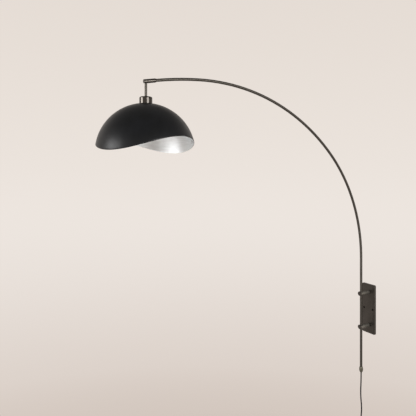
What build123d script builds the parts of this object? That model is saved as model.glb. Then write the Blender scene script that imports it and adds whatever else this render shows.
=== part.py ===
from build123d import *
from math import cos, pi, radians, sin, sqrt, tan
import os

os.makedirs("parts", exist_ok=True)

# A wall lamp on a long bow: a plate on the wall holds an upright rod in two round
# posts, the rod runs on into a bow that reaches out over the room, and a domed shade
# with a waved rim hangs from the bow's tip.
# Millimetres. The origin is the middle of the plate's back, +X points into the wall,
# the bow reaches out along -X and +Z is up.

# ---- driving sizes: the wall plate ----
plate_height = 262
plate_width = 84
plate_depth = 10
plate_corner = 7
plate_edge_round = 1.6
plate_skin = 3.5
plate_rim = 4
plate_land = 34
wall_screw_spacing = 57
wall_screw_radius = 2.75
wall_screw_well_radius = 5.6
wall_screw_well_floor = 2.5

# ---- driving sizes: the posts, their bushings and clamp knobs ----
post_spacing = 176
post_side_wall = 1.88
post_end_wall = 1.38
post_end_round = 1
rod_standoff = 54.5
bushing_wall = 1.2
post_screw_radius = 3
post_screw_bite = 16
post_screw_head_radius = 5
post_screw_head_height = 4
knob_rim = 2
knob_thickness = 3.6
knob_edge = 0.8
knob_shank_radius = 2.5

# ---- driving sizes: the rod and the bow ----
tube_radius = 6.35
tube_wall = 1.2
rod_bottom = -309
seam_height = 200
bow_start = 277
lower_bow_radius = 790
lower_bow_turn = 44
middle_bow_radius = 985
middle_bow_turn = 48.5
tip_bow_radius = 1500
tip_bow_turn = 7.4
tip_straight = 34
coupler_length = 70
coupler_bore_radius = 3.2
coupler_edge = 0.5
wire_radius = 2.3

# ---- driving sizes: the ferrule at the rod's foot and its cord grip ----
ferrule_length = 29
ferrule_mouth_wall = 1.1
ferrule_belly_rise = 2.5
ferrule_belly_drop = 13
ferrule_tail_wall = 1.15
ferrule_socket_depth = 9
grip_head_radius = 6
grip_head_height = 8
grip_tail_radius = 4.4

# ---- driving sizes: the connector at the bow's tip ----
connector_wall = 2.1
connector_length = 53
connector_nose = 8.8
connector_taper_length = 5
connector_taper_wall = 0.8
connector_nose_edge = 0.5
connector_cap_thickness = 1.5
tube_end_to_pivot = 15
connector_shoulder = 4
ball_radius = 6.4
ball_play = 0.5
ball_neck_length = 12
pivot_pin_radius = 1.5
pivot_pin_inner = 3
pendant_swing = 12
set_screw_radius = 2
set_screw_recess = 1

# ---- driving sizes: the downrod and the cup ----
downrod_radius = 5.25
downrod_wall = 1.8
downrod_top_drop = 7.5
downrod_bite = 4
pendant_drop = 62.5
cup_radius = 26
cup_height = 27
cup_wall = 1.5
cup_round = 5
cup_boss_wall = 3.7
cup_boss_height = 6
locknut_wall = 2.2
locknut_height = 5

# ---- driving sizes: the lampholder and the bulb ----
holder_radius = 17.5
holder_rise = 13
holder_shoulder = 5
flange_to_cup = 1.1
flange_lip = 3.6
flange_height = 4
skirt_depth = 24
skirt_edge = 1
holder_cavity_rise = 6
screw_shell_wall = 0.7
screw_shell_play = 0.55
screw_shell_inset = 2
screw_shell_headroom = 4
contact_radius = 4
contact_thickness = 1.2
contact_drop = 2
ring_width = 7.15
ring_height = 6
ring_edge = 0.8
ring_notches = 12
ring_notch_radius = 1.6
bulb_base_radius = 13
bulb_base_length = 27
bulb_tip_radius = 4
bulb_tip_height = 5
bulb_neck_radius = 14
bulb_radius = 30
bulb_length = 84
bulb_wall = 1
bulb_flare = 0.25

# ---- driving sizes: the shade ----
shade_radius = 198
shade_wall = 2
rim_above_centre = 34.2
rim_wave = 27.8
rim_wave_turn = 29
saddle_margin = 1.06

# ---- driving sizes: the cord, its switch, coil and plug ----
cord_radius = 3.25
cord_bends = [(0, -372), (-3.3, -446), (3.4, -520), (0, -560)]
bend_share = 0.45
switch_top = -582
switch_length = 62
switch_width = 27
switch_half_depth = 9
switch_neck_width = 12
switch_shoulder = 11
switch_wall = 2.2
switch_round = 2.4
window_side_gap = 0.4
window_end_gap = 1.2
rocker_half_length = 9.3
rocker_width = 12.2
rocker_rise = 5.2
rocker_dip = 3.7
rocker_tilt = 8
rocker_draft = 0.8
rocker_belly = 0.6
rocker_pin_radius = 1.2
rocker_pin_bite = 1.2
rocker_pin_hole_depth = 1.5
rocker_depth = 4.5
rocker_rib_thickness = 2
rocker_rib_width = 7
switch_screw_radius = 1.5
switch_screw_inset = 1.5
switch_screw_sink = 0.4
switch_boss_wall = 1.5
coil_centre_height = -726
coil_outer_turn = 47
coil_gap = 0.5
coil_climb_dip = 2
coil_half_turns = 12
coil_lead = 7
tie_width = 9
tie_thickness = 1.2
plug_top = -768
plug_relief_length = 21
relief_top_wall = 0.95
relief_foot_wall = 1.95
relief_rings = 5
relief_ring_height = 2
relief_ring_rise = 1
plug_flare_length = 12
plug_block_length = 14
plug_width = 25
plug_thickness = 17
plug_draw = 4
plug_round = 4
blade_spacing = 12.7
blade_width = 6.35
blade_thickness = 1.5
blade_length = 17
blade_edge = 0.5

# ---- clearances ----
running_fit = 0.07
slip_fit = 0.05
light_gap = 0.3
coil_tie_gap = 0.7

# ---- sizes and places that follow, from the rod outwards ----
tube_bore_radius = tube_radius - tube_wall
tube_socket_radius = tube_radius + slip_fit
bushing_bore_radius = tube_radius + running_fit
bushing_radius = bushing_bore_radius + bushing_wall
post_radius = bushing_radius + post_side_wall
post_overhang = bushing_radius + post_end_wall
knob_radius = post_radius + knob_rim
rod_x = -(plate_depth + rod_standoff)
post_end_x = rod_x - post_overhang
post_levels = {"upper": post_spacing / 2, "lower": -post_spacing / 2}
ferrule_mouth_radius = tube_socket_radius + ferrule_mouth_wall
ferrule_belly_radius = ferrule_mouth_radius + ferrule_belly_rise
ferrule_tail_radius = grip_tail_radius + slip_fit + ferrule_tail_wall
connector_radius = tube_socket_radius + connector_wall
connector_taper_radius = tube_socket_radius + connector_taper_wall
connector_bore_radius = ball_radius + ball_play
downrod_bore_radius = downrod_radius - downrod_wall
downrod_socket_radius = downrod_radius + slip_fit
flange_radius = cup_radius - cup_wall - flange_to_cup
skirt_radius = flange_radius - flange_lip
neck_radius = skirt_radius + light_gap
ring_radius = skirt_radius + slip_fit + ring_width
shell_radius = bulb_base_radius + screw_shell_play + screw_shell_wall
holder_cavity_radius = shell_radius + slip_fit
coil_pitch = 2 * cord_radius + coil_gap


# ======== wall plate ========
# A cast plate with a thin skin in front, a rim round its back and a solid land across
# the middle, with two deep wells that hide the heads of the wall screws.
with BuildPart() as wall_plate:
    with BuildSketch(Plane.YZ):
        RectangleRounded(plate_width, plate_height, plate_corner)
    extrude(amount=-plate_depth)
    front_edges = wall_plate.faces().sort_by(Axis.X)[0].edges()
    fillet(front_edges, plate_edge_round)
    pocket_height = (plate_height - plate_land) / 2 - plate_rim
    pocket_level = plate_land / 2 + pocket_height / 2
    with BuildSketch(Plane.YZ):
        with Locations((0, pocket_level), (0, -pocket_level)):
            RectangleRounded(plate_width - 2 * plate_rim, pocket_height, plate_corner - plate_rim)
    extrude(amount=-(plate_depth - plate_skin), mode=Mode.SUBTRACT)
    front = Plane(origin=(-plate_depth, 0, 0), x_dir=(0, 1, 0), z_dir=(-1, 0, 0))
    with Locations(front):
        with GridLocations(wall_screw_spacing, 0, 2, 1):
            CounterBoreHole(
                wall_screw_radius, wall_screw_well_radius, plate_depth - wall_screw_well_floor
            )
        with GridLocations(0, post_spacing, 1, 2):
            Hole(post_screw_radius + light_gap)
wall_plate.part.label = "wall_plate"
export_step(wall_plate.part, "parts/wall_plate.step")


# ======== posts, bushings, post screws and clamp knobs ========
# Each post is a round bar screwed to the plate from behind, cross-bored near its free
# end for the rod. A nylon bushing lines the bore, and a flat round knob in the bar's
# end closes on the rod through it.
for side, level in post_levels.items():
    with BuildPart() as post:
        with BuildSketch(Plane.YZ.offset(-plate_depth)):
            with Locations((0, level)):
                Circle(post_radius)
        extrude(amount=post_end_x + plate_depth)
        fillet(post.edges().sort_by(Axis.X)[0], post_end_round)
        with BuildSketch(Plane.XY.offset(level)):
            with Locations((rod_x, 0)):
                Circle(bushing_radius)
        extrude(amount=post_radius, both=True, mode=Mode.SUBTRACT)
        with BuildSketch(Plane.YZ.offset(post_end_x)):
            with Locations((0, level)):
                Circle(knob_shank_radius + slip_fit)
        extrude(amount=post_overhang, mode=Mode.SUBTRACT)
        with BuildSketch(Plane.YZ.offset(-plate_depth)):
            with Locations((0, level)):
                Circle(post_screw_radius)
        extrude(amount=-post_screw_bite, mode=Mode.SUBTRACT)
    post.part.label = f"{side}_post"
    export_step(post.part, f"parts/{side}_post.step")

    with BuildPart() as bushing:
        with BuildSketch(Plane.XY.offset(level)):
            with Locations((rod_x, 0)):
                Circle(bushing_radius)
                Circle(bushing_bore_radius, mode=Mode.SUBTRACT)
        extrude(amount=post_radius, both=True)
        with BuildSketch(Plane.YZ.offset(post_end_x)):
            with Locations((0, level)):
                Circle(post_radius - light_gap)
        extrude(amount=2 * post_overhang, mode=Mode.INTERSECT)
        with BuildSketch(Plane.YZ.offset(post_end_x)):
            with Locations((0, level)):
                Circle(knob_shank_radius + slip_fit)
        extrude(amount=post_overhang, mode=Mode.SUBTRACT)
    bushing.part.label = f"{side}_bushing"
    export_step(bushing.part, f"parts/{side}_bushing.step")

    with BuildPart() as clamp_knob:
        with BuildSketch(Plane.YZ.offset(post_end_x - light_gap)):
            with Locations((0, level)):
                Circle(knob_radius)
        extrude(amount=-knob_thickness)
        chamfer(clamp_knob.edges().group_by(Axis.X)[0], knob_edge)
        with BuildSketch(Plane.YZ.offset(post_end_x - light_gap)):
            with Locations((0, level)):
                Circle(knob_shank_radius)
        extrude(amount=post_overhang - tube_radius)
    clamp_knob.part.label = f"{side}_clamp_knob"
    export_step(clamp_knob.part, f"parts/{side}_clamp_knob.step")

with BuildPart() as post_screws:
    with BuildSketch(Plane.YZ.offset(-plate_depth + plate_skin)):
        with GridLocations(0, post_spacing, 1, 2):
            Circle(post_screw_head_radius)
    extrude(amount=post_screw_head_height)
    with BuildSketch(Plane.YZ.offset(-plate_depth + plate_skin + post_screw_head_height)):
        with GridLocations(0, post_spacing, 1, 2):
            RegularPolygon(post_screw_radius, 6)
    extrude(amount=-post_screw_head_height / 2, mode=Mode.SUBTRACT)
    with BuildSketch(Plane.YZ.offset(-plate_depth + plate_skin)):
        with GridLocations(0, post_spacing, 1, 2):
            Circle(post_screw_radius)
    extrude(amount=-(plate_skin + post_screw_bite - light_gap))
post_screws.part.label = "post_screws"
export_step(post_screws.part, "parts/post_screws.step")


# ======== rod, bow and the coupler between them ========
# Steel tube. The upright rod and the bow meet in a flush seam above the upper post,
# over a turned coupler. The bow starts upright and opens out as it nears its tip.
with BuildPart() as upright_rod:
    with BuildSketch(Plane.XY.offset(rod_bottom)):
        with Locations((rod_x, 0)):
            Circle(tube_radius)
            Circle(tube_bore_radius, mode=Mode.SUBTRACT)
    extrude(amount=seam_height - rod_bottom)
upright_rod.part.label = "upright_rod"
export_step(upright_rod.part, "parts/upright_rod.step")


def bow_line(foot_level):
    """The centreline from a level on the rod to the bow's tip, and its last straight."""
    with BuildLine(Plane.XZ) as path:
        foot = Line((rod_x, foot_level), (rod_x, bow_start))
        lower = JernArc(foot @ 1, foot % 1, lower_bow_radius, lower_bow_turn)
        middle = JernArc(lower @ 1, lower % 1, middle_bow_radius, middle_bow_turn)
        tip = JernArc(middle @ 1, middle % 1, tip_bow_radius, tip_bow_turn)
        last_run = Line(tip @ 1, tip @ 1 + tip % 1 * tip_straight)
    return path.wires()[0], last_run


bow_wire, bow_tip = bow_line(seam_height)
bow_aim = bow_tip % 1
pivot = bow_tip @ 1 + bow_aim * tube_end_to_pivot

with BuildPart() as bow_tube:
    with BuildSketch(Plane.XY.offset(seam_height)):
        with Locations((rod_x, 0)):
            Circle(tube_radius)
            Circle(tube_bore_radius, mode=Mode.SUBTRACT)
    sweep(path=bow_wire)
bow_tube.part.label = "bow_tube"
export_step(bow_tube.part, "parts/bow_tube.step")

with BuildPart() as bow_coupler:
    with BuildSketch(Plane.XY.offset(seam_height - coupler_length / 2)):
        with Locations((rod_x, 0)):
            Circle(tube_bore_radius - slip_fit)
            Circle(coupler_bore_radius, mode=Mode.SUBTRACT)
    extrude(amount=coupler_length)
    coupler_ends = bow_coupler.edges().group_by(Axis.Z)
    chamfer(coupler_ends[0] + coupler_ends[-1], coupler_edge)
bow_coupler.part.label = "bow_coupler"
export_step(bow_coupler.part, "parts/bow_coupler.step")

ferrule_top = rod_bottom + ferrule_socket_depth
ferrule_foot = ferrule_top - ferrule_length
with BuildPart() as bow_wiring:
    with BuildSketch(Plane.XY.offset(ferrule_foot)):
        with Locations((rod_x, 0)):
            Circle(wire_radius)
    sweep(path=bow_line(ferrule_foot)[0])
bow_wiring.part.label = "bow_wiring"
export_step(bow_wiring.part, "parts/bow_wiring.step")


# ======== ferrule and cord grip at the rod's foot ========
# A turned, bellied ferrule caps the rod's foot. A stepped nylon grip stands in its bore
# and keeps the lead from chafing on the metal and from pulling on the wiring.
grip_shoulder = rod_bottom - grip_head_height
rod_axis = Axis((rod_x, 0, 0), (0, 0, 1))
with BuildPart() as rod_ferrule:
    with BuildSketch(Plane.XZ):
        with BuildLine():
            Line((rod_x, ferrule_top), (rod_x + ferrule_mouth_radius, ferrule_top))
            ThreePointArc(
                (rod_x + ferrule_mouth_radius, ferrule_top),
                (rod_x + ferrule_belly_radius, ferrule_top - ferrule_belly_drop),
                (rod_x + ferrule_tail_radius, ferrule_foot),
            )
            Line((rod_x + ferrule_tail_radius, ferrule_foot), (rod_x, ferrule_foot))
            Line((rod_x, ferrule_foot), (rod_x, ferrule_top))
        make_face()
    revolve(axis=rod_axis)
    bores = (
        (ferrule_top, rod_bottom, tube_radius),
        (rod_bottom, grip_shoulder, grip_head_radius),
        (grip_shoulder, ferrule_foot, grip_tail_radius),
    )
    for bore_top, bore_foot, bore_radius in bores:
        with BuildSketch(Plane.XY.offset(bore_top)):
            with Locations((rod_x, 0)):
                Circle(bore_radius + slip_fit)
        extrude(amount=bore_foot - bore_top, mode=Mode.SUBTRACT)
rod_ferrule.part.label = "rod_ferrule"
export_step(rod_ferrule.part, "parts/rod_ferrule.step")

with BuildPart() as cord_grip:
    with BuildSketch(Plane.XZ):
        Polygon(
            (rod_x + wire_radius + slip_fit, rod_bottom),
            (rod_x + grip_head_radius, rod_bottom),
            (rod_x + grip_head_radius, grip_shoulder),
            (rod_x + grip_tail_radius, grip_shoulder),
            (rod_x + grip_tail_radius, ferrule_foot),
            (rod_x + wire_radius + slip_fit, ferrule_foot),
            align=None,
        )
    revolve(axis=rod_axis)
cord_grip.part.label = "cord_grip"
export_step(cord_grip.part, "parts/cord_grip.step")


# ======== connector at the bow's tip ========
# A turned sleeve over the tube's end, bored from its nose, with a cap pressed in. The
# downrod leaves through a slot below, on a ball that turns on two short pins, so that
# the shade hangs plumb from the sloping tip.
tip_plane = Plane(origin=pivot, x_dir=bow_aim, z_dir=(0, -1, 0))
tip_axis = Axis(pivot, bow_aim)
connector_tail = connector_length - connector_nose
shoulder_start = -tube_end_to_pivot
shoulder_end = shoulder_start + connector_shoulder
set_screw_place = pivot - bow_aim * (tube_end_to_pivot + connector_tail) / 2
set_screw_plane = Plane(origin=set_screw_place, x_dir=bow_aim, z_dir=tip_plane.y_dir)
slot_plane = Plane(origin=pivot, x_dir=(1, 0, 0), z_dir=(0, -1, 0))
slot_depth = 2 * connector_radius
slot_top = downrod_radius + light_gap
slot_foot = slot_top + slot_depth * tan(radians(pendant_swing))
slot_outline = [
    (-slot_top, 0),
    (-slot_foot, -slot_depth),
    (slot_foot, -slot_depth),
    (slot_top, 0),
]
with BuildPart() as connector:
    with BuildSketch(tip_plane):
        Polygon(
            (-connector_tail, tube_socket_radius),
            (-connector_tail, connector_taper_radius),
            (-connector_tail + connector_taper_length, connector_radius),
            (connector_nose - connector_nose_edge, connector_radius),
            (connector_nose, connector_radius - connector_nose_edge),
            (connector_nose, connector_bore_radius),
            (shoulder_end, connector_bore_radius),
            (shoulder_end, tube_bore_radius),
            (shoulder_start, tube_bore_radius),
            (shoulder_start, tube_socket_radius),
            align=None,
        )
    revolve(axis=tip_axis)
    with BuildSketch(slot_plane):
        Polygon(*slot_outline, align=None)
    extrude(amount=downrod_radius + light_gap, both=True, mode=Mode.SUBTRACT)
    with BuildSketch(Plane.XZ):
        with Locations((pivot.X, pivot.Z)):
            Circle(pivot_pin_radius)
    extrude(amount=connector_radius, both=True, mode=Mode.SUBTRACT)
    with BuildSketch(set_screw_plane):
        Circle(set_screw_radius)
    extrude(amount=2 * connector_radius, mode=Mode.SUBTRACT)
connector.part.label = "connector"
export_step(connector.part, "parts/connector.step")

with BuildPart() as connector_cap:
    with BuildSketch(Plane(origin=pivot + bow_aim * connector_nose, z_dir=bow_aim)):
        Circle(connector_bore_radius)
    extrude(amount=-connector_cap_thickness)
    with BuildSketch(slot_plane):
        Polygon(*slot_outline, align=None)
    extrude(amount=downrod_radius + light_gap, both=True, mode=Mode.SUBTRACT)
connector_cap.part.label = "connector_cap"
export_step(connector_cap.part, "parts/connector_cap.step")

with BuildPart() as pivot_pins:
    pin_length = sqrt(connector_radius**2 - pivot_pin_radius**2) - pivot_pin_inner
    for facing in (1, -1):
        with BuildSketch(Plane.XZ.offset(facing * pivot_pin_inner)):
            with Locations((pivot.X, pivot.Z)):
                Circle(pivot_pin_radius)
        extrude(amount=facing * pin_length)
pivot_pins.part.label = "pivot_pins"
export_step(pivot_pins.part, "parts/pivot_pins.step")

with BuildPart() as set_screw:
    with BuildSketch(set_screw_plane.offset(tube_socket_radius)):
        Circle(set_screw_radius)
    extrude(amount=connector_wall)
    with BuildSketch(set_screw_plane.offset(connector_radius)):
        RegularPolygon(set_screw_radius / 2, 6)
    extrude(amount=-set_screw_recess, mode=Mode.SUBTRACT)
set_screw.part.label = "connector_set_screw"
export_step(set_screw.part, "parts/connector_set_screw.step")


# ======== swivel ball and downrod ========
with BuildPart() as swivel_ball:
    with Locations(pivot):
        Sphere(ball_radius)
    with BuildSketch(Plane.XY.offset(pivot.Z - ball_radius / 2)):
        with Locations((pivot.X, 0)):
            Circle(downrod_bore_radius - slip_fit)
    extrude(amount=-(ball_radius / 2 + ball_neck_length))
    with BuildSketch(Plane.XY.offset(pivot.Z)):
        with Locations((pivot.X, 0)):
            Circle(wire_radius + light_gap)
    extrude(amount=-(ball_radius + ball_neck_length), mode=Mode.SUBTRACT)
    with BuildSketch(Plane(origin=pivot, z_dir=-bow_aim)):
        Circle(wire_radius + light_gap)
    extrude(amount=ball_radius, mode=Mode.SUBTRACT)
    with BuildSketch(Plane.XZ):
        with Locations((pivot.X, pivot.Z)):
            Circle(pivot_pin_radius + running_fit)
    extrude(amount=ball_radius, both=True, mode=Mode.SUBTRACT)
swivel_ball.part.label = "swivel_ball"
export_step(swivel_ball.part, "parts/swivel_ball.step")

cup_top = pivot.Z - pendant_drop
cup_foot = cup_top - cup_height
holder_top = cup_foot + holder_rise
with BuildPart() as downrod:
    with BuildSketch(Plane.XY.offset(pivot.Z - downrod_top_drop)):
        with Locations((pivot.X, 0)):
            Circle(downrod_radius)
            Circle(downrod_bore_radius, mode=Mode.SUBTRACT)
    extrude(amount=-(pivot.Z - downrod_top_drop - holder_top + downrod_bite))
downrod.part.label = "downrod"
export_step(downrod.part, "parts/downrod.step")


# ======== cup, locknut and shade ========
# The cup is spun metal over a boss that screws on the downrod. The shade is a spun
# dome, cut off by a saddle, so that its rim waves twice round: low towards the wall
# and the room, high at both sides.
pendant_axis = Axis((pivot.X, 0, 0), (0, 0, 1))
with BuildPart() as socket_cup:
    with BuildSketch(Plane.XY.offset(cup_foot)):
        with Locations((pivot.X, 0)):
            Circle(cup_radius)
    extrude(amount=cup_height)
    fillet(socket_cup.edges().group_by(Axis.Z)[-1], cup_round)
    offset(amount=-cup_wall, openings=socket_cup.faces().sort_by(Axis.Z)[0])
    with BuildSketch(Plane.XY.offset(cup_top - cup_wall)):
        with Locations((pivot.X, 0)):
            Circle(downrod_socket_radius + cup_boss_wall)
    extrude(amount=-cup_boss_height)
    with BuildSketch(Plane.XY.offset(cup_top)):
        with Locations((pivot.X, 0)):
            Circle(downrod_socket_radius)
    extrude(amount=-(cup_wall + cup_boss_height), mode=Mode.SUBTRACT)
socket_cup.part.label = "socket_cup"
export_step(socket_cup.part, "parts/socket_cup.step")

with BuildPart() as locknut:
    with BuildSketch(Plane.XY.offset(cup_top - cup_wall - cup_boss_height)):
        with Locations((pivot.X, 0)):
            RegularPolygon(downrod_socket_radius + locknut_wall, 6, major_radius=False)
            Circle(downrod_socket_radius, mode=Mode.SUBTRACT)
    extrude(amount=-locknut_height)
locknut.part.label = "cup_locknut"
export_step(locknut.part, "parts/cup_locknut.step")

shade_centre = cup_foot - slip_fit - sqrt(shade_radius**2 - (cup_radius - cup_wall) ** 2)
inner_radius = shade_radius - shade_wall
rim_circle = sqrt(shade_radius**2 - rim_above_centre**2)
saddle_reach = shade_radius * saddle_margin
saddle_rise = 2 * rim_wave * (saddle_reach / rim_circle) ** 2
saddle_floor = -shade_radius
rim_level = shade_centre + rim_above_centre
with BuildPart() as shade:
    with BuildSketch(Plane.XZ):
        with Locations((pivot.X, shade_centre)):
            Circle(shade_radius)
            Circle(inner_radius, mode=Mode.SUBTRACT)
        with Locations((pivot.X, shade_centre - shade_radius / 2)):
            Rectangle(3 * shade_radius, shade_radius, mode=Mode.SUBTRACT)
        with Locations((pivot.X - shade_radius + neck_radius, shade_centre + shade_radius / 2)):
            Rectangle(2 * shade_radius, 2 * shade_radius, mode=Mode.SUBTRACT)
    revolve(axis=pendant_axis)
    saddle_frame = Plane(
        origin=(pivot.X, 0, rim_level),
        x_dir=Vector(1, 0, 0).rotate(Axis.Z, rim_wave_turn + 45),
        z_dir=(0, 0, 1),
    )
    for facing in (-1, 1):
        saddle_end = Plane(
            origin=saddle_frame.origin + saddle_frame.x_dir * facing * saddle_reach,
            x_dir=saddle_frame.y_dir,
            z_dir=saddle_frame.x_dir,
        )
        with BuildSketch(saddle_end):
            Polygon(
                (-saddle_reach, saddle_floor),
                (saddle_reach, saddle_floor),
                (saddle_reach, facing * saddle_rise),
                (-saddle_reach, -facing * saddle_rise),
                align=None,
            )
    loft(ruled=True, mode=Mode.SUBTRACT)
shade.part.label = "shade"
export_step(shade.part, "parts/shade.step")


# ======== lampholder, shade ring and wiring ========
# A moulded lampholder screws on the downrod's foot. Its flange stands on the shade's
# neck and a ring on its threaded skirt clamps the shade from below. A brass screw
# shell and a sprung contact hold the bulb.
seat_level = shade_centre + sqrt(shade_radius**2 - neck_radius**2) + slip_fit
holder_foot = seat_level - skirt_depth
flange_top = seat_level + flange_height
cavity_top = seat_level + holder_cavity_rise
with BuildPart() as lampholder:
    with BuildSketch(Plane.XZ):
        with BuildLine():
            Polyline(
                (pivot.X, holder_top),
                (pivot.X + holder_radius - holder_shoulder, holder_top),
                (pivot.X + holder_radius, holder_top - holder_shoulder),
                (pivot.X + holder_radius, flange_top),
                (pivot.X + flange_radius, flange_top),
                (pivot.X + flange_radius, seat_level),
                (pivot.X + skirt_radius, seat_level),
                (pivot.X + skirt_radius, holder_foot + skirt_edge),
                (pivot.X + skirt_radius - skirt_edge, holder_foot),
                (pivot.X + holder_cavity_radius, holder_foot),
                (pivot.X + holder_cavity_radius, cavity_top),
                (pivot.X, cavity_top),
                close=True,
            )
        make_face()
    revolve(axis=pendant_axis)
    with BuildSketch(Plane.XY.offset(holder_top)):
        with Locations((pivot.X, 0)):
            Circle(downrod_radius)
    extrude(amount=-downrod_bite, mode=Mode.SUBTRACT)
    with BuildSketch(Plane.XY.offset(holder_top)):
        with Locations((pivot.X, 0)):
            Circle(wire_radius + light_gap)
    extrude(amount=-(holder_top - cavity_top), mode=Mode.SUBTRACT)
lampholder.part.label = "lampholder"
export_step(lampholder.part, "parts/lampholder.step")

shell_foot = holder_foot + screw_shell_inset
with BuildPart() as screw_shell:
    with BuildSketch(Plane.XY.offset(shell_foot)):
        with Locations((pivot.X, 0)):
            Circle(shell_radius)
            Circle(shell_radius - screw_shell_wall, mode=Mode.SUBTRACT)
    extrude(amount=cavity_top - screw_shell_headroom - shell_foot)
screw_shell.part.label = "screw_shell"
export_step(screw_shell.part, "parts/screw_shell.step")

contact_level = cavity_top - contact_drop
with BuildPart() as centre_contact:
    with BuildSketch(Plane.XY.offset(contact_level)):
        with Locations((pivot.X, 0)):
            Circle(contact_radius)
    extrude(amount=-contact_thickness)
    with BuildSketch(Plane.XY.offset(contact_level)):
        with Locations((pivot.X, 0)):
            Circle(contact_radius / 2)
    extrude(amount=cavity_top - contact_level)
centre_contact.part.label = "centre_contact"
export_step(centre_contact.part, "parts/centre_contact.step")

ring_top = shade_centre + sqrt(inner_radius**2 - ring_radius**2) - slip_fit
with BuildPart() as shade_ring:
    with BuildSketch(Plane.XY.offset(ring_top)):
        with Locations((pivot.X, 0)):
            Circle(ring_radius)
            Circle(skirt_radius + slip_fit, mode=Mode.SUBTRACT)
    extrude(amount=-ring_height)
    chamfer(shade_ring.edges().group_by(Axis.Z)[0], ring_edge)
    with BuildSketch(Plane.XY.offset(ring_top - ring_height)):
        with Locations((pivot.X, 0)):
            with PolarLocations(ring_radius, ring_notches):
                Circle(ring_notch_radius)
    extrude(amount=ring_height, mode=Mode.SUBTRACT)
shade_ring.part.label = "shade_ring"
export_step(shade_ring.part, "parts/shade_ring.step")

with BuildPart() as pendant_wiring:
    with BuildSketch(Plane.XY.offset(pivot.Z)):
        with Locations((pivot.X, 0)):
            Circle(wire_radius)
    extrude(amount=-(pivot.Z - cavity_top))
pendant_wiring.part.label = "pendant_wiring"
export_step(pendant_wiring.part, "parts/pendant_wiring.step")


# ======== bulb ========
base_top = contact_level - contact_thickness - slip_fit
base_foot = base_top - bulb_base_length
glass_foot = base_foot - bulb_length
widest = glass_foot + bulb_radius
with BuildPart() as bulb_base:
    with BuildSketch(Plane.XZ):
        Polygon(
            (pivot.X, base_top),
            (pivot.X + bulb_tip_radius, base_top),
            (pivot.X + bulb_base_radius, base_top - bulb_tip_height),
            (pivot.X + bulb_base_radius, base_foot),
            (pivot.X, base_foot),
            align=None,
        )
    revolve(axis=pendant_axis)
bulb_base.part.label = "bulb_base"
export_step(bulb_base.part, "parts/bulb_base.step")

with BuildPart() as bulb_glass:
    for glass, mode in ((0, Mode.ADD), (bulb_wall, Mode.SUBTRACT)):
        with BuildSketch(Plane.XZ):
            with BuildLine():
                bulb_foot = (pivot.X, glass_foot + glass)
                bulb_side = (pivot.X + bulb_radius - glass, widest)
                bulb_neck = (pivot.X + bulb_neck_radius - glass, base_foot)
                Line((pivot.X, base_foot), bulb_neck)
                Spline(bulb_neck, bulb_side, tangents=[(bulb_flare, -1), (0, -1)])
                RadiusArc(bulb_side, bulb_foot, bulb_radius - glass)
                Line(bulb_foot, (pivot.X, base_foot))
            make_face()
        revolve(axis=pendant_axis, mode=mode)
bulb_glass.part.label = "bulb_glass"
export_step(bulb_glass.part, "parts/bulb_glass.step")


# ======== in-line switch ========
# Two moulded halves on the cord, screwed together, with a rocker in a window facing
# the room. At rest the rocker's upper end is up.
switch_middle = switch_top - switch_length / 2
switch_foot = switch_top - switch_length
room_face = Plane(origin=(rod_x, 0, switch_middle), x_dir=(0, -1, 0), z_dir=(-1, 0, 0))
half_length = switch_length / 2
half_width = switch_width / 2
half_neck = switch_neck_width / 2
outline = [
    (half_neck, half_length),
    (half_width, half_length - switch_shoulder),
    (half_width, switch_shoulder - half_length),
    (half_neck, -half_length),
    (-half_neck, -half_length),
    (-half_width, switch_shoulder - half_length),
    (-half_width, half_length - switch_shoulder),
    (-half_neck, half_length),
]
screw_spot = half_length - switch_shoulder - switch_screw_inset
boss_radius = switch_screw_radius + switch_boss_wall
rib_inner = rocker_width / 2 + light_gap
rib_middle = rib_inner + rocker_rib_thickness / 2
rib_foot = rocker_depth - rocker_rib_thickness
for half, way in (("switch_base", -1), ("switch_cover", 1)):
    with BuildPart() as shell:
        with BuildSketch(room_face):
            Polygon(*outline, align=None)
        extrude(amount=way * switch_half_depth)
        fillet(shell.edges().filter_by(Axis.X), switch_round)
        far_side = shell.faces().sort_by(Axis.X)[0 if way > 0 else -1]
        fillet(far_side.edges(), switch_round)
        with BuildSketch(room_face):
            RectangleRounded(
                switch_width - 2 * switch_wall,
                2 * (half_length - switch_shoulder) - switch_wall,
                switch_round,
            )
            with Locations((0, screw_spot), (0, -screw_spot)):
                Circle(boss_radius, mode=Mode.SUBTRACT)
        extrude(amount=way * (switch_half_depth - switch_wall), mode=Mode.SUBTRACT)
        with BuildSketch(room_face):
            with Locations((0, screw_spot), (0, -screw_spot)):
                Circle(switch_screw_radius)
        extrude(amount=way * switch_half_depth, mode=Mode.SUBTRACT)
        if half == "switch_cover":
            with BuildSketch(room_face.offset(rib_foot)):
                with Locations((rib_middle, 0), (-rib_middle, 0)):
                    Rectangle(rocker_rib_thickness, rocker_rib_width)
            extrude(amount=switch_half_depth - switch_wall / 2 - rib_foot)
            with BuildSketch(room_face):
                Rectangle(
                    rocker_width + 2 * window_side_gap,
                    2 * (rocker_half_length + window_end_gap),
                )
            extrude(amount=switch_half_depth, mode=Mode.SUBTRACT)
            with BuildSketch(Plane.XZ):
                with Locations((rod_x - rocker_depth, switch_middle)):
                    Circle(rocker_pin_radius + running_fit)
            extrude(amount=rib_inner + rocker_pin_hole_depth, both=True, mode=Mode.SUBTRACT)
    shell.part.label = half
    export_step(shell.part, f"parts/{half}.step")

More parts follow.
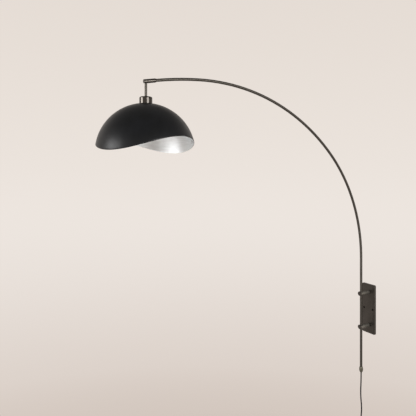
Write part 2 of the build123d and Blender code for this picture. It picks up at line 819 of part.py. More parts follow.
with BuildPart() as switch_rocker:
    rocker_frame = Plane(
        origin=(rod_x - rocker_depth, 0, switch_middle),
        x_dir=Vector(0, 0, 1).rotate(Axis.Y, -rocker_tilt),
        z_dir=(0, -1, 0),
    )
    with BuildSketch(rocker_frame):
        with BuildLine():
            Polyline(
                (-rocker_half_length, rocker_rise),
                (-rocker_half_length + rocker_draft, -rocker_belly),
                (rocker_half_length - rocker_draft, -rocker_belly),
                (rocker_half_length, rocker_rise),
            )
            ThreePointArc(
                (rocker_half_length, rocker_rise),
                (0, rocker_dip),
                (-rocker_half_length, rocker_rise),
            )
        make_face()
    extrude(amount=rocker_width / 2, both=True)
    with BuildSketch(rocker_frame):
        Circle(rocker_pin_radius)
    extrude(amount=rib_inner + rocker_pin_bite, both=True)
switch_rocker.part.label = "switch_rocker"
export_step(switch_rocker.part, "parts/switch_rocker.step")

with BuildPart() as switch_screws:
    with BuildSketch(room_face.offset(-switch_half_depth + switch_screw_sink)):
        with Locations((0, screw_spot), (0, -screw_spot)):
            Circle(switch_screw_radius - slip_fit)
    extrude(amount=2 * switch_half_depth - switch_wall)
switch_screws.part.label = "switch_screws"
export_step(switch_screws.part, "parts/switch_screws.step")


# ======== cord ========
# A round lead hangs from the ferrule with a slight set in it, passes the switch, is
# wound into a tied coil and ends in its plug. Its bends are (across, height) points,
# where across is a level direction, slanting to the wall.
across = Vector(0.88, -0.474, 0)
hang = [(0, ferrule_foot), *cord_bends, (0, switch_top)]


def bend_radii(points):
    """The largest arc for each corner, from its two runs and the turn between them."""
    radii = []
    for before, here, after in zip(points, points[1:], points[2:]):
        come = Vector(*here) - Vector(*before)
        go = Vector(*after) - Vector(*here)
        turn = radians(come.get_angle(go))
        radii.append(bend_share * min(come.length, go.length) / tan(turn / 2))
    return radii


hang_radii = bend_radii(hang)
hang_plane = Plane(origin=(rod_x, 0, 0), x_dir=across, z_dir=across.cross(Vector(0, 0, 1)))
with BuildPart() as cord_upper:
    with BuildLine(hang_plane) as hang_path:
        FilletPolyline(*hang, radius=hang_radii)
    with BuildSketch(Plane(origin=hang_path.line @ 0, z_dir=hang_path.line % 0)):
        Circle(cord_radius)
    sweep(path=hang_path.wires()[0])
cord_upper.part.label = "cord_upper"
export_step(cord_upper.part, "parts/cord_upper.step")
hang_length = hang_path.wires()[0].length
hang_ratio = cord_upper.part.volume / (pi * cord_radius**2 * hang_length)
print("hanging cord: length", round(hang_length), "radii", [round(r) for r in hang_radii])
print("hanging cord volume over section x length", round(hang_ratio, 3))

coil_entry = coil_centre_height + coil_lead
with BuildPart() as cord_middle:
    with BuildSketch(Plane.XY.offset(switch_foot)):
        with Locations((rod_x, 0)):
            Circle(cord_radius)
    extrude(amount=coil_entry - switch_foot)
cord_middle.part.label = "cord_middle"
export_step(cord_middle.part, "parts/cord_middle.step")

# The coil: half circles whose ends lie on the level of its middle. The first layer
# winds in, the innermost half turn climbs to the second, which winds out again.
coil_y = -coil_outer_turn
turns_in = coil_half_turns // 2 - 1
second_layer_x = rod_x - coil_pitch


def coil_post(k):
    """Where the coil crosses the level of its middle after k half turns."""
    if k <= turns_in:
        x, reach = rod_x, coil_outer_turn - k * coil_pitch / 2
    else:
        x = second_layer_x
        reach = coil_outer_turn + (k - 1 - 2 * turns_in) * coil_pitch / 2
    if k in (turns_in, turns_in + 1):
        reach -= coil_climb_dip
    return Vector(x, coil_y + (reach if k % 2 == 0 else -reach), coil_centre_height)


with BuildPart() as cord_coil:
    with BuildLine() as coil_path:
        first, last = coil_post(0), coil_post(coil_half_turns)
        Line(first + Vector(0, 0, coil_lead), first)
        for k in range(coil_half_turns):
            here, there = coil_post(k), coil_post(k + 1)
            half_way = Vector(0, 0, (there - here).length / 2)
            middle = (here + there) * 0.5
            ThreePointArc(here, middle - half_way if k % 2 == 0 else middle + half_way, there)
        Line(last, last - Vector(0, 0, coil_lead))
    with BuildSketch(Plane.XY.offset(coil_entry)):
        with Locations((first.X, first.Y)):
            Circle(cord_radius)
    sweep(path=coil_path.wires()[0])
cord_coil.part.label = "cord_coil"
export_step(cord_coil.part, "parts/cord_coil.step")

# The least gap of the coil to itself is measured on points along it, leaving out pairs
# that lie within three cord widths of each other along the cord.
coil_wire = coil_path.wires()[0]
coil_length = coil_wire.length
steps = round(coil_length / cord_radius)
near_steps = 6
coil_points = [coil_wire.position_at(i / steps) for i in range(steps + 1)]
least = min(
    (coil_points[i] - coil_points[j]).length
    for i in range(steps + 1)
    for j in range(i + near_steps, steps + 1)
)
coil_ratio = cord_coil.part.volume / (pi * cord_radius**2 * coil_length)
print("coil: length", round(coil_length), "least gap to itself", round(least - 2 * cord_radius, 2))
print("coil volume over section x length", round(coil_ratio, 3))

with BuildPart() as cord_tail:
    with BuildSketch(Plane.XY.offset(coil_centre_height - coil_lead)):
        with Locations((last.X, last.Y)):
            Circle(cord_radius)
    extrude(amount=plug_top - (coil_centre_height - coil_lead))
cord_tail.part.label = "cord_tail"
export_step(cord_tail.part, "parts/cord_tail.step")

inner_bundle = coil_outer_turn - turns_in * coil_pitch / 2 - coil_climb_dip - cord_radius - coil_tie_gap
outer_bundle = coil_outer_turn + coil_pitch / 4 + cord_radius + coil_tie_gap
bundle_height = outer_bundle - inner_bundle
bundle_depth = coil_pitch + 2 * cord_radius + 2 * coil_tie_gap
with BuildPart() as cord_tie:
    with BuildSketch(Plane.XZ.offset(-coil_y)):
        with Locations(
            (rod_x - coil_pitch / 2, coil_centre_height + (inner_bundle + outer_bundle) / 2)
        ):
            RectangleRounded(
                bundle_depth + 2 * tie_thickness,
                bundle_height + 2 * tie_thickness,
                cord_radius,
            )
            RectangleRounded(
                bundle_depth, bundle_height, cord_radius - tie_thickness, mode=Mode.SUBTRACT
            )
    extrude(amount=tie_width / 2, both=True)
cord_tie.part.label = "cord_tie"
export_step(cord_tie.part, "parts/cord_tie.step")


# ======== plug ========
# A moulded two-blade plug, drawn in towards the lead, with a strain relief of rings on
# a tapered core.
plug_shoulder = plug_top - plug_relief_length
plug_widest = plug_shoulder - plug_flare_length
plug_face = plug_widest - plug_block_length
with BuildPart() as plug_body:
    with BuildSketch(Plane.XY.offset(plug_top)):
        with Locations((last.X, last.Y)):
            Circle(cord_radius + relief_top_wall)
    with BuildSketch(Plane.XY.offset(plug_shoulder)):
        with Locations((last.X, last.Y)):
            Circle(cord_radius + relief_foot_wall)
    loft()
    ring_step = (plug_relief_length - relief_ring_height) / relief_rings
    for k in range(relief_rings):
        with BuildSketch(Plane.XY.offset(plug_top - k * ring_step)):
            with Locations((last.X, last.Y)):
                Circle(cord_radius + relief_foot_wall + relief_ring_rise)
        extrude(amount=-relief_ring_height)
    with BuildSketch(Plane.XY.offset(plug_shoulder)):
        with Locations((last.X, last.Y)):
            RectangleRounded(plug_thickness - plug_draw, plug_width - 2 * plug_draw, plug_round)
    with BuildSketch(Plane.XY.offset(plug_widest)):
        with Locations((last.X, last.Y)):
            RectangleRounded(plug_thickness, plug_width, plug_round)
    loft()
    with BuildSketch(Plane.XY.offset(plug_widest)):
        with Locations((last.X, last.Y)):
            RectangleRounded(plug_thickness, plug_width, plug_round)
    extrude(amount=-plug_block_length)
plug_body.part.label = "plug_body"
export_step(plug_body.part, "parts/plug_body.step")

with BuildPart() as plug_blades:
    with BuildSketch(Plane.XY.offset(plug_face)):
        with Locations((last.X, last.Y)):
            with GridLocations(0, blade_spacing, 1, 2):
                Rectangle(blade_width, blade_thickness)
    extrude(amount=-blade_length)
    chamfer(plug_blades.edges().group_by(Axis.Z)[0], blade_edge)
plug_blades.part.label = "plug_blades"
export_step(plug_blades.part, "parts/plug_blades.step")

tail_length = coil_centre_height - coil_lead - plug_top
lead_length = ferrule_foot - coil_entry + coil_length + tail_length
print("lead from ferrule to plug", round(lead_length))
print("pivot", pivot.X, pivot.Z, "shade centre", shade_centre, "rim", rim_level)
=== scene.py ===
from math import acos, cos, pi, radians, sin, sqrt

import bmesh
import bpy
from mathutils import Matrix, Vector


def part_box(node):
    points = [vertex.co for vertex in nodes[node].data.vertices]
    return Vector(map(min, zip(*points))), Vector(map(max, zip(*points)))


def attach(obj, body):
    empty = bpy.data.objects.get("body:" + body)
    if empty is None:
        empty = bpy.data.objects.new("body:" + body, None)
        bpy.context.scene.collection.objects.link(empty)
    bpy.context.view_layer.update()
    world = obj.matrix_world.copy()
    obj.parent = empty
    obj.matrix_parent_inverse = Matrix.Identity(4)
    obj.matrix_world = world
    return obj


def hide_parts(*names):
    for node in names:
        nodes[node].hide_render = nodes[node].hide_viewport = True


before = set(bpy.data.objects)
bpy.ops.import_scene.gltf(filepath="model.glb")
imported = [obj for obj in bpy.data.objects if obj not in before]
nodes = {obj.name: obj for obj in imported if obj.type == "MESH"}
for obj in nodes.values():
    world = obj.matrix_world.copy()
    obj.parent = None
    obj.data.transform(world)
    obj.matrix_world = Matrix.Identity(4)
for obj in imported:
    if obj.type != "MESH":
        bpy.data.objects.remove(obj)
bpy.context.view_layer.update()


# ======== viewpoint ========
# The lamp is seen from the room, level, from a height between its wall plate and its
# shade and about two metres off, with the wall running away to the right.
camera_data = bpy.data.cameras.new("camera")
camera_data.sensor_width = 36
camera_data.lens = 38.71
camera_data.shift_y = -0.0906
camera = bpy.data.objects.new("camera", camera_data)
camera.location = (-1.9298, -1.6787, 0.7412)
camera.rotation_euler = Vector((0.4866, 0.8736, 0)).to_track_quat("-Z", "Y").to_euler()
bpy.context.scene.collection.objects.link(camera)
bpy.context.scene.camera = camera


# ======== lead ========
# A round two-core lead in an extruded black PVC sheath. It hangs from the ferrule with
# a slight set, passes the in-line switch and is wound into a tied coil before the plug.
lead_diameter = 0.0065
rod_x = -0.0645
switch_foot = -0.644
coil_centre = -0.726
coil_outer_turn = 0.047
coil_pitch = 0.007
coil_climb_dip = 0.002
coil_half_turns = 12
coil_entry_rise = 0.014
plug_top = -0.768
points_per_half_turn = 12
# Each pair is the lead's swing to the side, along this level line, and its height.
across = Vector((0.88, -0.474, 0))
hang = [
    (0, -0.329),
    (0, -0.372),
    (-0.0033, -0.446),
    (0.0034, -0.520),
    (0, -0.560),
    (0, -0.582),
]
turns_in = coil_half_turns // 2 - 1


def coil_post(k):
    """Where the coil crosses the level of its middle after k half turns."""
    if k <= turns_in:
        x, reach = rod_x, coil_outer_turn - k * coil_pitch / 2
    else:
        x = rod_x - coil_pitch
        reach = coil_outer_turn + (k - 1 - 2 * turns_in) * coil_pitch / 2
    if k in (turns_in, turns_in + 1):
        reach -= coil_climb_dip
    return Vector((x, -coil_outer_turn + (reach if k % 2 == 0 else -reach), coil_centre))


lead_route = [Vector((rod_x, 0, height)) + across * offset for offset, height in hang]
lead_route.append(Vector((rod_x, 0, switch_foot)))
lead_route.append(Vector((rod_x, 0, coil_centre + coil_entry_rise)))
# A control point lies this much outside the circle that the smooth line should follow.
outside = 8 / (6 + 2 * cos(pi / points_per_half_turn))
for k in range(coil_half_turns):
    here, there = coil_post(k), coil_post(k + 1)
    middle, arm = (here + there) / 2, (here - there) / 2
    drop = Vector((0, 0, arm.length)) * (-1 if k % 2 == 0 else 1)
    for i in range(points_per_half_turn):
        turn = pi * i / points_per_half_turn
        lead_route.append(middle + (arm * cos(turn) + drop * sin(turn)) * outside)
lead_end = coil_post(coil_half_turns)
lead_route.append(lead_end)
lead_route.append(Vector((lead_end.x, lead_end.y, (lead_end.z + plug_top) / 2)))
lead_route.append(Vector((lead_end.x, lead_end.y, plug_top)))

lead_curve = bpy.data.curves.new("lead", "CURVE")
lead_curve.dimensions = "3D"
lead_curve.bevel_depth = lead_diameter / 2
lead_curve.bevel_resolution = 5
lead_curve.use_fill_caps = True
lead_spline = lead_curve.splines.new("NURBS")
lead_spline.points.add(len(lead_route) - 1)
for point, place in zip(lead_spline.points, lead_route):
    point.co = (*place, 1)
lead_spline.order_u = 3
lead_spline.use_endpoint_u = True
lead_spline.resolution_u = 6
lead = bpy.data.objects.new("lead", lead_curve)
bpy.context.scene.collection.objects.link(lead)


def srgb(code):
    """A hex colour as linear red, green, blue and alpha."""
    parts = [int(code[i : i + 2], 16) / 255 for i in (1, 3, 5)]
    return [c / 12.92 if c <= 0.04045 else ((c + 0.055) / 1.055) ** 2.4 for c in parts] + [1]


def grey(value):
    """A plain number, such as a roughness, as a colour without a tint."""
    return (value, value, value, 1)


def add_node(tree, kind, inputs=(), **settings):
    """Adds a node. Each input is a number, a colour or the socket that feeds it."""
    node = tree.nodes.new(kind)
    for name, value in settings.items():
        setattr(node, name, value)
    for name, value in dict(inputs).items():
        if isinstance(value, bpy.types.NodeSocket):
            tree.links.new(value, node.inputs[name])
        else:
            node.inputs[name].default_value = value
    return node


def start_material(name, **values):
    """A new material's tree and its shader, with the shader's plain values set."""
    material = bpy.data.materials.new(name)
    material.use_nodes = True
    shader = material.node_tree.nodes["Principled BSDF"]
    for socket, value in values.items():
        shader.inputs[socket.replace("_", " ")].default_value = value
    return material, material.node_tree, shader


# Noise seldom leaves these two values, so they carry the two ends of a pattern's tone.
noise_low, noise_high = 0.3, 0.7


def mottle(tree, place, size, low, high):
    """Soft patches of the given size in metres, from one tone to another."""
    noise = add_node(
        tree, "ShaderNodeTexNoise", {"Vector": place, "Scale": 1 / size, "Detail": 3}
    )
    ramp = add_node(tree, "ShaderNodeValToRGB", {"Fac": noise.outputs["Fac"]})
    ramp.color_ramp.elements[0].position = noise_low
    ramp.color_ramp.elements[1].position = noise_high
    ramp.color_ramp.elements[0].color = low
    ramp.color_ramp.elements[1].color = high
    return ramp.outputs["Color"]


def finish(name, colour, roughness, grain=None, **values):
    """A material whose colour and roughness vary in soft patches.

    Colour and roughness are each two ends and the patches' size. A raised grain, if there
    is one, is its spacing, its strength and its height. All lengths are in metres.
    """
    material, tree, shader = start_material(name, **values)
    place = add_node(tree, "ShaderNodeTexCoord").outputs["Object"]
    dark, pale, patch = colour
    tone = mottle(tree, place, patch, srgb(dark), srgb(pale))
    tree.links.new(tone, shader.inputs["Base Color"])
    smooth, dull, patch = roughness
    sheen = mottle(tree, place, patch, grey(smooth), grey(dull))
    tree.links.new(sheen, shader.inputs["Roughness"])
    if grain:
        spacing, strength, rise = grain
        noise = add_node(tree, "ShaderNodeTexNoise", {"Vector": place, "Scale": 1 / spacing})
        bump = add_node(
            tree,
            "ShaderNodeBump",
            {"Height": noise.outputs["Fac"], "Strength": strength, "Distance": rise},
        )
        tree.links.new(bump.outputs["Normal"], shader.inputs["Normal"])
    return material


def dress(material, *names):
    """Gives CAD nodes their material."""
    for name in names:
        nodes[name].data.materials.clear()
        nodes[name].data.materials.append(material)


# PVC: soft extruded plastic, nearly black, dull with a broad sheen. The die leaves a
# grain too fine to show, which is drawn 0.7 mm wide.
pvc = finish(
    "extruded_pvc",
    colour=("#0f0e0e", "#151414", 0.012),
    roughness=(0.5, 0.6, 0.004),
    grain=(0.0007, 0.15, 0.0002),
    IOR=1.53,
    Specular_IOR_Level=0.12,
)
lead_curve.materials.append(pvc)
dress(pvc, "plug_body")
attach(lead, "wall_bracket")
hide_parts("cord_upper", "cord_middle", "cord_coil", "cord_tail")


# ======== wall plate, posts and clamp knobs ========
# A cast plate with turned steel posts screwed on from behind, lacquered dark bronze. A
# turned knob in each post's end closes on the rod, which runs in nylon bushings.

# Baked lacquer over metal: dark and satin, with the slight ripple of spraying.
bronze = finish(
    "dark_bronze_lacquer",
    colour=("#45413d", "#4c4844", 0.05),
    roughness=(0.3, 0.38, 0.006),
    grain=(0.0016, 0.12, 0.0003),
    Metallic=0.9,
)
dress(bronze, "wall_plate", "upper_clamp_knob", "lower_clamp_knob")

# The same lacquer in a paler tone on the turned posts: painted light, which stands in for the
# light that brightens their tops.
bronze_painted_light = finish(
    "bronze_lacquer_painted_light",
    colour=("#716d66", "#7a766e", 0.03),
    roughness=(0.3, 0.38, 0.006),
    Metallic=0.6,
)
dress(bronze_painted_light, "upper_post", "lower_post")

# Zinc-plated steel: pale grey metal, its shine made uneven by tumbling in the bath.
zinc = finish(
    "zinc_plated_steel",
    colour=("#a9a8a4", "#bdbcb7", 0.004),
    roughness=(0.28, 0.42, 0.0015),
    Metallic=1,
)
dress(
    zinc,
    "post_screws",
    "connector_set_screw",
    "cup_locknut",
    "switch_screws",
    "bow_coupler",
)

# Moulded nylon: black, waxy and dull, with a soft edge to its shine.
nylon = finish(
    "moulded_nylon",
    colour=("#1c1b1a", "#262524", 0.003),
    roughness=(0.45, 0.6, 0.002),
    IOR=1.53,
)
dress(nylon, "upper_bushing", "lower_bushing", "cord_grip", "cord_tie")


# ======== rod and bow ========
# Two lengths of 12.7 mm steel tube meet in a flush seam above the upper post, over an
# inner coupler. The wires to the pendant run inside them.

# Lacquered drawn tube: the plate's lacquer over a smoother ground. Only the tube's slow
# waves are left in it, so its shine runs in a long line. The thinner stem has it too.
tube_lacquer = finish(
    "lacquered_tube",
    colour=("#44413c", "#4b4742", 0.08),
    roughness=(0.34, 0.4, 0.05),
    grain=(0.015, 0.08, 0.0003),
    Metallic=0.9,
)
dress(tube_lacquer, "upright_rod", "bow_tube", "downrod")

# Extruded PVC insulation: smooth, dark grey, seen only through the bores.
insulation = finish(
    "wire_insulation",
    colour=("#202020", "#2a2a2a", 0.006),
    roughness=(0.35, 0.45, 0.003),
    IOR=1.53,
)
dress(insulation, "bow_wiring", "pendant_wiring")


# ======== connector, swivel ball, cup and ferrule ========
# Nickel-plated fittings: a turned connector on the bow's tip, with the stem's ball on
# two pins in it, a spun cup above the shade, and a turned ferrule at the rod's foot.

# Polished black nickel: a dark mirror, smoother than the lacquer, with sharp lines.
black_nickel = finish(
    "black_nickel",
    colour=("#413e3b", "#494541", 0.03),
    roughness=(0.12, 0.18, 0.008),
    Metallic=1,
)
dress(black_nickel, "swivel_ball", "socket_cup")

# Satin black nickel: the same plating over a brushed blank, so its lines are soft.
satin_nickel = finish(
    "satin_black_nickel",
    colour=("#4b4743", "#54504b", 0.02),
    roughness=(0.28, 0.34, 0.006),
    Metallic=1,
)
dress(satin_nickel, "connector", "connector_cap", "pivot_pins")

# Bead-blasted nickel: the one paler fitting, matt and slightly olive. The pits, about
# 0.1 mm on the real one, are drawn 0.8 mm wide to show.
blasted_nickel = finish(
    "blasted_nickel",
    colour=("#5b594f", "#666358", 0.004),
    roughness=(0.42, 0.52, 0.002),
    grain=(0.0008, 0.2, 0.0002),
    Metallic=0.8,
)
dress(blasted_nickel, "rod_ferrule")


# ======== shade ========
# A spun aluminium dome with a waved rim, black powder coat outside, down to the middle of
# the edge. Its inside is bare, with the fine rings that the spinning tool leaves.
shade_radius = 0.198
shade_wall = 0.002
neck_radius = 0.0201
rim_above_centre = 0.0342
rim_wave = 0.0278
rim_wave_turn = radians(29)
edge_bead = 0.0007
shade_steps_round = 240
shade_steps_down = 56
edge_steps = 6
rim_passes = 12
shade_low, shade_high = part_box("shade")
pendant_x = (shade_low.x + shade_high.x) / 2
shade_centre = shade_high.z - sqrt(shade_radius**2 - neck_radius**2)
rim_circle = sqrt(shade_radius**2 - rim_above_centre**2)


def rim_angle(azimuth, radius):
    """The angle down from the top at which the waved rim cuts a sphere of that radius.

    The wave grows outwards, so its height is found in passes that close in on it.
    """
    height = rim_above_centre
    for _ in range(rim_passes):
        out = sqrt(radius**2 - height**2)
        wave = -rim_wave * cos(2 * (azimuth - rim_wave_turn)) * (out / rim_circle) ** 2
        height = rim_above_centre + wave
    return acos(height / radius)


def dome_point(azimuth, radius, down):
    """A point of the dome, by its angles round the axis and down from the top."""
    out = radius * sin(down)
    return Vector(
        (
            pendant_x + out * cos(azimuth),
            out * sin(azimuth),
            shade_centre + radius * cos(down),
        )
    )


shade_bm = bmesh.new()
inner_radius = shade_radius - shade_wall
outer_top = acos(sqrt(1 - (neck_radius / shade_radius) ** 2))
inner_top = acos(sqrt(1 - (neck_radius / inner_radius) ** 2))
columns = []
for i in range(shade_steps_round):
    azimuth = 2 * pi * i / shade_steps_round
    outer_rim = rim_angle(azimuth, shade_radius)
    inner_rim = rim_angle(azimuth, inner_radius)
    column = []
    for j in range(shade_steps_down):
        share = j / (shade_steps_down - 1)
        down = outer_top + share * (outer_rim - outer_top)
        column.append(dome_point(azimuth, shade_radius, down))
    for j in range(1, edge_steps):
        share = j / edge_steps
        radius = shade_radius - share * shade_wall
        down = outer_rim + share * (inner_rim - outer_rim) + edge_bead * sin(pi * share) / radius
        column.append(dome_point(azimuth, radius, down))
    for j in range(shade_steps_down):
        share = 1 - j / (shade_steps_down - 1)
        down = inner_top + share * (inner_rim - inner_top)
        column.append(dome_point(azimuth, inner_radius, down))
    columns.append([shade_bm.verts.new(point) for point in column])
column_length = len(columns[0])
# The bare metal starts in the middle of the edge and ends at the neck.
first_bare = shade_steps_down + edge_steps // 2
for i, column in enumerate(columns):
    following = columns[(i + 1) % shade_steps_round]
    for j in range(column_length):
        k = (j + 1) % column_length
        face = shade_bm.faces.new((column[j], column[k], following[k], following[j]))
        face.smooth = True
        face.material_index = 1 if first_bare <= j < column_length - 1 else 0
bmesh.ops.recalc_face_normals(shade_bm, faces=shade_bm.faces)
shade_mesh = bpy.data.meshes.new("shade_dome")
shade_bm.to_mesh(shade_mesh)
shade_bm.free()
shade_dome = bpy.data.objects.new("shade_dome", shade_mesh)
bpy.context.scene.collection.objects.link(shade_dome)

# Powder coat: black, satin, with a very fine even grain that softens every reflection.
powder = finish(
    "black_powder_coat",
    colour=("#0f1011", "#141517", 0.06),
    roughness=(0.34, 0.4, 0.02),
    grain=(0.0009, 0.12, 0.0002),
    IOR=1.5,
    Specular_IOR_Level=0.17,
)

# Spun aluminium: bright metal whose shine spreads across its rings into a soft fan. The
# rings are 0.5 mm apart on the real one and are drawn as streaks wide enough to show.
streak_height = 0.0028
streaks_round = 3.5
spun, tree, shader = start_material(
    "spun_aluminium", Metallic=1, Anisotropic=0.9, Anisotropic_Rotation=0.25
)
place = add_node(tree, "ShaderNodeTexCoord").outputs["Object"]
centred = add_node(
    tree,
    "ShaderNodeVectorMath",
    {0: place, 1: (pendant_x, 0, shade_centre)},
    operation="SUBTRACT",
)
split = add_node(tree, "ShaderNodeSeparateXYZ", {"Vector": centred.outputs["Vector"]})
flat = add_node(
    tree,
    "ShaderNodeCombineXYZ",
    {"X": split.outputs["X"], "Y": split.outputs["Y"], "Z": 0},
)
around = add_node(
    tree, "ShaderNodeVectorMath", {0: flat.outputs["Vector"]}, operation="NORMALIZE"
)
turned = add_node(tree, "ShaderNodeSeparateXYZ", {"Vector": around.outputs["Vector"]})
stretch = {
    "X": (turned.outputs["X"], streaks_round),
    "Y": (turned.outputs["Y"], streaks_round),
    "Z": (split.outputs["Z"], 1 / streak_height),
}
streak_place = add_node(
    tree,
    "ShaderNodeCombineXYZ",
    {
        axis: add_node(
            tree, "ShaderNodeMath", {0: along, 1: density}, operation="MULTIPLY"
        ).outputs["Value"]
        for axis, (along, density) in stretch.items()
    },
)
streaks = add_node(
    tree,
    "ShaderNodeTexNoise",
    {"Vector": streak_place.outputs["Vector"], "Scale": 1, "Detail": 4, "Roughness": 0.65},
)
tone = add_node(tree, "ShaderNodeValToRGB", {"Fac": streaks.outputs["Fac"]})
tone.color_ramp.elements[0].position = noise_low
tone.color_ramp.elements[1].position = noise_high
tone.color_ramp.elements[0].color = srgb("#dee1e2")
tone.color_ramp.elements[1].color = srgb("#f6f8f9")
tree.links.new(tone.outputs["Color"], shader.inputs["Base Color"])
dull = add_node(
    tree,
    "ShaderNodeMapRange",
    {"Value": streaks.outputs["Fac"], "To Min": 0.52, "To Max": 0.66},
)
tree.links.new(dull.outputs["Result"], shader.inputs["Roughness"])
bump = add_node(
    tree,
    "ShaderNodeBump",
    {"Height": streaks.outputs["Fac"], "Strength": 0.2, "Distance": 0.0003},
)
tree.links.new(bump.outputs["Normal"], shader.inputs["Normal"])
along_rings = add_node(tree, "ShaderNodeTangent", direction_type="RADIAL", axis="Z")
tree.links.new(along_rings.outputs["Tangent"], shader.inputs["Tangent"])
shade_mesh.materials.append(powder)
shade_mesh.materials.append(spun)
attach(shade_dome, "pendant")
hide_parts("shade")


# ======== lampholder and bulb ========
# A moulded phenolic lampholder and its clamp ring, brass contacts, and a round lamp
# with an opal coating, screwed in. They show only from below.

# Moulded phenolic: hard, nearly black plastic, fairly glossy as it leaves the mould.
phenolic = finish(
    "moulded_phenolic",
    colour=("#111111", "#191817", 0.008),
    roughness=(0.2, 0.3, 0.004),
    IOR=1.6,
)
dress(phenolic, "lampholder", "shade_ring")

# Stamped brass strip: bright yellow metal, a little uneven in shine from the rolling.
brass = finish(
    "bright_brass",
    colour=("#c39a4c", "#d8b368", 0.005),
    roughness=(0.2, 0.34, 0.002),
    Metallic=1,
)
dress(brass, "screw_shell", "centre_contact", "plug_blades")

# Drawn aluminium: thin and bright, with a slightly uneven shine.
lamp_cap = finish(
    "drawn_aluminium",
    colour=("#c9c9c7", "#dcdcda", 0.004),
    roughness=(0.25, 0.38, 0.0015),
    Metallic=1,
)
dress(lamp_cap, "bulb_base")

# Opal glass: white coating under smooth glass, so it is matt in depth and glossy on top.
opal = finish(
    "opal_glass",
    colour=("#ece9e2", "#f2efe9", 0.03),
    roughness=(0.3, 0.36, 0.01),
    Subsurface_Weight=0.3,
    Subsurface_Scale=0.004,
    Coat_Weight=0.6,
    Coat_Roughness=0.08,
    IOR=1.5,
)
dress(opal, "bulb_glass")


# ======== in-line switch ========
# Two moulded ABS halves on the cord, screwed together, with a glossier phenolic rocker in
# a window that faces the room.

# Spark-textured ABS: dark and dull. The texture, about 0.1 mm on the real one, is drawn
# 0.4 mm wide to show.
abs_black = finish(
    "spark_textured_abs",
    colour=("#161616", "#1c1c1c", 0.01),
    roughness=(0.48, 0.58, 0.003),
    grain=(0.0004, 0.3, 0.0002),
    IOR=1.54,
)
dress(abs_black, "switch_base", "switch_cover")
dress(phenolic, "switch_rocker")


# ======== studio ========
# A pale surround and floor, with a wide soft light overhead, one on each side of the
# viewer, a low card that lifts the dome's foot and a small one for the dome's inside.
surround = srgb("#e6ddd6")
world = bpy.data.worlds.new("surround")
world.use_nodes = True
bpy.context.scene.world = world
tree = world.node_tree
tree.nodes.clear()
rays = add_node(tree, "ShaderNodeLightPath")
seen = add_node(
    tree,
    "ShaderNodeMath",
    {0: rays.outputs["Is Camera Ray"], 1: rays.outputs["Is Glossy Ray"]},
    operation="MAXIMUM",
)
seen = add_node(
    tree,
    "ShaderNodeMath",
    {0: seen.outputs["Value"], 1: rays.outputs["Is Transmission Ray"]},
    operation="MAXIMUM",
)
# The surround is palest a little below eye level and falls off towards the floor.
direction = add_node(
    tree,
    "ShaderNodeSeparateXYZ",
    {"Vector": add_node(tree, "ShaderNodeTexCoord").outputs["Generated"]},
)
level = add_node(
    tree,
    "ShaderNodeMapRange",
    {"Value": direction.outputs["Z"], "From Min": -0.5, "From Max": 0.5},
)
fall = add_node(tree, "ShaderNodeValToRGB", {"Fac": level.outputs["Result"]})
fall.color_ramp.interpolation = "B_SPLINE"
fall.color_ramp.elements[0].color = srgb("#cfc3ba")
fall.color_ramp.elements[1].color = srgb("#e4dbd4")
for height, code in ((0.1, "#dbd0c8"), (0.33, "#eee7e1"), (0.5, "#ece4dd"), (0.8, "#e5dcd4")):
    fall.color_ramp.elements.new(height).color = srgb(code)
fill = add_node(tree, "ShaderNodeBackground", {"Color": srgb("#f4f1ee"), "Strength": 0.3})
# Reflections see the same surround up to a dimmer ceiling.
ceiling = add_node(
    tree,
    "ShaderNodeMapRange",
    {
        "Value": direction.outputs["Z"],
        "From Min": 0.3,
        "From Max": 0.75,
        "To Min": 1,
        "To Max": 0.35,
    },
    interpolation_type="SMOOTHSTEP",
)
strength = add_node(
    tree,
    "ShaderNodeMath",
    {0: rays.outputs["Is Camera Ray"], 1: ceiling.outputs["Result"]},
    operation="MAXIMUM",
)
backdrop = add_node(
    tree,
    "ShaderNodeBackground",
    {"Color": fall.outputs["Color"], "Strength": strength.outputs["Value"]},
)
mixed = add_node(tree, "ShaderNodeMixShader", {"Fac": seen.outputs["Value"]})
tree.links.new(fill.outputs["Background"], mixed.inputs[1])
tree.links.new(backdrop.outputs["Background"], mixed.inputs[2])
add_node(tree, "ShaderNodeOutputWorld", {"Surface": mixed.outputs["Shader"]})

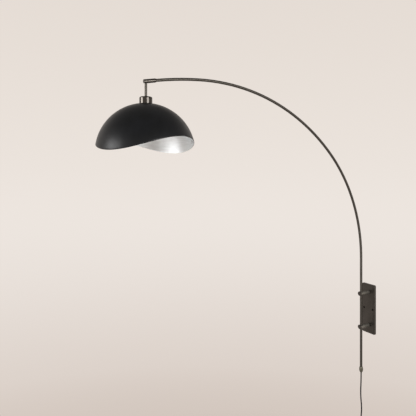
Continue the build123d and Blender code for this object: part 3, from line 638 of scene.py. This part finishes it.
# Each light has its offset from the middle of the shade's rim, which it faces, its width
# and height in metres, and its power in watts.
rim_middle = Vector((pendant_x, 0, 0.85))
lights = (
    ("room_light", Vector((-0.986, 0.105, 0.12)) * 2.6, (1.5, 1.1), 60),
    ("side_light", Vector((0.264, -0.964, 0.05)) * 3, (1.83, 1.17), 66),
    ("low_card", Vector((-0.9, -0.12, -0.42)) * 2.4, (2.2, 1.1), 15),
    ("lens_card", Vector((-0.242, -0.97, -0.268)) * 2, (0.35, 0.5), 3.8),
    ("overhead", Vector((0.25, -0.1, 1)) * 2.2, (3, 3), 23),
)
for name, offset, size, power in lights:
    light = bpy.data.lights.new(name, "AREA")
    light.shape = "RECTANGLE"
    light.size, light.size_y = size
    light.energy = power
    holder = bpy.data.objects.new(name, light)
    holder.location = rim_middle + offset
    holder.rotation_euler = (-offset).to_track_quat("-Z", "Y").to_euler()
    holder.visible_camera = False
    holder.visible_glossy = name != "overhead"
    bpy.context.scene.collection.objects.link(holder)

floor_level = -1.35
floor_reach = 4
floor_middle_x = -0.7
fade_start, fade_end = 0.7, 1.9
floor_mesh = bpy.data.meshes.new("floor")
corners = [(-1, -1), (1, -1), (1, 1), (-1, 1)]
floor_mesh.from_pydata(
    [(x * floor_reach + floor_middle_x, y * floor_reach, floor_level) for x, y in corners],
    [],
    [(0, 1, 2, 3)],
)
floor = bpy.data.objects.new("floor", floor_mesh)
bpy.context.scene.collection.objects.link(floor)
# Matt paint: pale and even. It fades into the surround well outside the lamp.
floor_paint, tree, shader = start_material("pale_floor", Roughness=0.9)
shader.inputs["Base Color"].default_value = surround
place = add_node(tree, "ShaderNodeTexCoord").outputs["Object"]
from_lamp = add_node(
    tree,
    "ShaderNodeVectorMath",
    {0: place, 1: (floor_middle_x, 0, floor_level)},
    operation="DISTANCE",
)
fade = add_node(
    tree,
    "ShaderNodeMapRange",
    {"Value": from_lamp.outputs["Value"], "From Min": fade_start, "From Max": fade_end},
    interpolation_type="SMOOTHSTEP",
)
clear = add_node(tree, "ShaderNodeBsdfTransparent")
faded = add_node(tree, "ShaderNodeMixShader", {"Fac": fade.outputs["Result"]})
tree.links.new(shader.outputs["BSDF"], faded.inputs[1])
tree.links.new(clear.outputs["BSDF"], faded.inputs[2])
tree.links.new(faded.outputs["Shader"], tree.nodes["Material Output"].inputs["Surface"])
floor_mesh.materials.append(floor_paint)

bpy.context.scene.view_settings.view_transform = "Standard"
